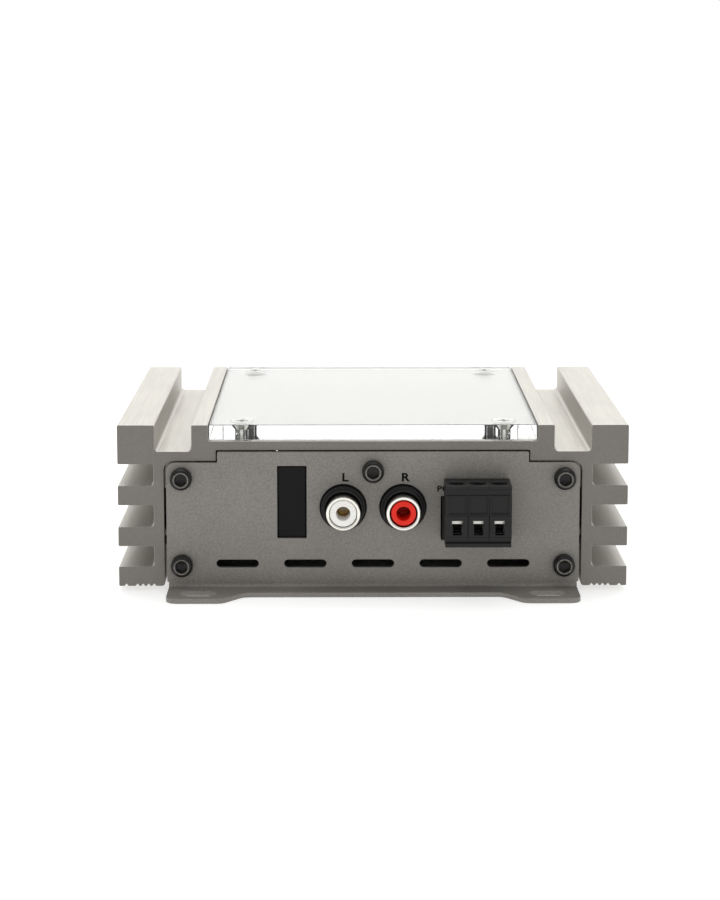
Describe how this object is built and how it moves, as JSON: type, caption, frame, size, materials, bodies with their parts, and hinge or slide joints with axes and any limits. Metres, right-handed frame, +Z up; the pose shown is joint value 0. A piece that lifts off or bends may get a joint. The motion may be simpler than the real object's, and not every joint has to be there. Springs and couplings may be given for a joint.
{
  "type": "car audio line amplifier",
  "caption": "Compact in-vehicle audio unit: finned aluminium body, clear top plate, phono jacks, pluggable power terminal, modular remote socket and slotted mounting flanges.",
  "frame": {"origin": "middle of the footprint, on the mounting surface under the flanges", "axes": "+X across the width, to the right when facing the power panel; -Y out of the power panel; +Z up"},
  "size_m": [0.124, 0.1058, 0.0412],
  "materials": {
    "extrusion": "bare satin extrusion, saw-cut ends",
    "panel_paint": "fine metallic grey paint on sheet",
    "acrylic": "clear, polished, thick",
    "stainless": "plain stainless",
    "black_screw": "black oxide, lightly oiled",
    "nickel": "bright nickel plate",
    "black_plastic": "moulded black thermoplastic",
    "white_plastic": "moulded white insulator",
    "red_plastic": "moulded red insulator",
    "tinned_brass": "tin plated pins",
    "plated_steel": "zinc plated",
    "gold_contact": "gold plated contact wires in a carrier",
    "board": "glass epoxy board with green resist",
    "winding": "enamelled copper winding",
    "capacitor_sleeve": "shrunk sleeve over an aluminium can",
    "epoxy": "moulded component body"
  },
  "bodies": {
    "chassis": {"heatsink": "extrusion", "front_panel_screw_1": "black_screw", "front_panel_screw_2": "black_screw", "front_panel_screw_3": "black_screw", "front_panel_screw_4": "black_screw", "rear_panel_screw_1": "black_screw", "rear_panel_screw_2": "black_screw", "rear_panel_screw_3": "black_screw", "rear_panel_screw_4": "black_screw", "front_panel": "panel_paint", "rear_panel": "panel_paint", "front_jack_body_1": "black_plastic", "front_jack_screw_1": "black_screw", "front_jack_sleeve_1_white": "nickel", "front_jack_insulator_1_white": "white_plastic", "front_jack_sleeve_1_red": "nickel", "front_jack_insulator_1_red": "red_plastic", "rear_jack_body_1": "black_plastic", "rear_jack_screw_1": "black_screw", "rear_jack_sleeve_1_white": "nickel", "rear_jack_insulator_1_white": "white_plastic", "rear_jack_sleeve_1_red": "nickel", "rear_jack_insulator_1_red": "red_plastic", "rear_jack_body_2": "black_plastic", "rear_jack_screw_2": "black_screw", "rear_jack_sleeve_2_white": "nickel", "rear_jack_insulator_2_white": "white_plastic", "rear_jack_sleeve_2_red": "nickel", "rear_jack_insulator_2_red": "red_plastic", "window_insert": "black_plastic", "terminal_header": "black_plastic", "terminal_pin_1": "tinned_brass", "terminal_pin_2": "tinned_brass", "terminal_pin_3": "tinned_brass", "modular_socket": "black_plastic", "modular_contact_insert": "gold_contact", "top_plate": "acrylic", "bottom_cover": "panel_paint", "top_plate_screw_1": "stainless", "top_plate_screw_2": "stainless", "top_plate_screw_3": "stainless", "top_plate_screw_4": "stainless", "bottom_cover_screw_1": "black_screw", "bottom_cover_screw_2": "black_screw", "bottom_cover_screw_3": "black_screw", "bottom_cover_screw_4": "black_screw", "circuit_board": "board", "toroid_coil": "winding", "capacitor_1": "capacitor_sleeve", "capacitor_2": "capacitor_sleeve", "power_transistor_1": "epoxy", "power_transistor_2": "epoxy", "signal_chip": "epoxy"},
    "plug": {"terminal_plug": "black_plastic"},
    "clamp_screw_1": {"terminal_screw_1": "plated_steel"},
    "clamp_cage_1": {"terminal_cage_1": "plated_steel"},
    "clamp_screw_2": {"terminal_screw_2": "plated_steel"},
    "clamp_cage_2": {"terminal_cage_2": "plated_steel"},
    "clamp_screw_3": {"terminal_screw_3": "plated_steel"},
    "clamp_cage_3": {"terminal_cage_3": "plated_steel"}
  },
  "joints": [
    {"name": "plug_pull", "type": "slide", "parent": "chassis", "child": "plug", "axis": [0, -1, 0], "range_m": [0, 0.009]},
    {"name": "clamp_screw_1_turn", "type": "hinge", "parent": "plug", "child": "clamp_screw_1", "pos_m": [0.02002, -0.0474, 0.0258], "axis": [0, 0, -1], "range_deg": [0, 1440]},
    {"name": "clamp_cage_1_rise", "type": "slide", "parent": "plug", "child": "clamp_cage_1", "axis": [0, 0, 1], "range_m": [0, 0.002]},
    {"name": "clamp_screw_2_turn", "type": "hinge", "parent": "plug", "child": "clamp_screw_2", "pos_m": [0.0251, -0.0474, 0.0258], "axis": [0, 0, -1], "range_deg": [0, 1440]},
    {"name": "clamp_cage_2_rise", "type": "slide", "parent": "plug", "child": "clamp_cage_2", "axis": [0, 0, 1], "range_m": [0, 0.002]},
    {"name": "clamp_screw_3_turn", "type": "hinge", "parent": "plug", "child": "clamp_screw_3", "pos_m": [0.03018, -0.0474, 0.0258], "axis": [0, 0, -1], "range_deg": [0, 1440]},
    {"name": "clamp_cage_3_rise", "type": "slide", "parent": "plug", "child": "clamp_cage_3", "axis": [0, 0, 1], "range_m": [0, 0.002]}
  ],
  "couplings": [
    {"joint": "clamp_screw_1_turn", "follows": "clamp_cage_1_rise", "rad_per_m": 12566},
    {"joint": "clamp_screw_2_turn", "follows": "clamp_cage_2_rise", "rad_per_m": 12566},
    {"joint": "clamp_screw_3_turn", "follows": "clamp_cage_3_rise", "rad_per_m": 12566}
  ]
}
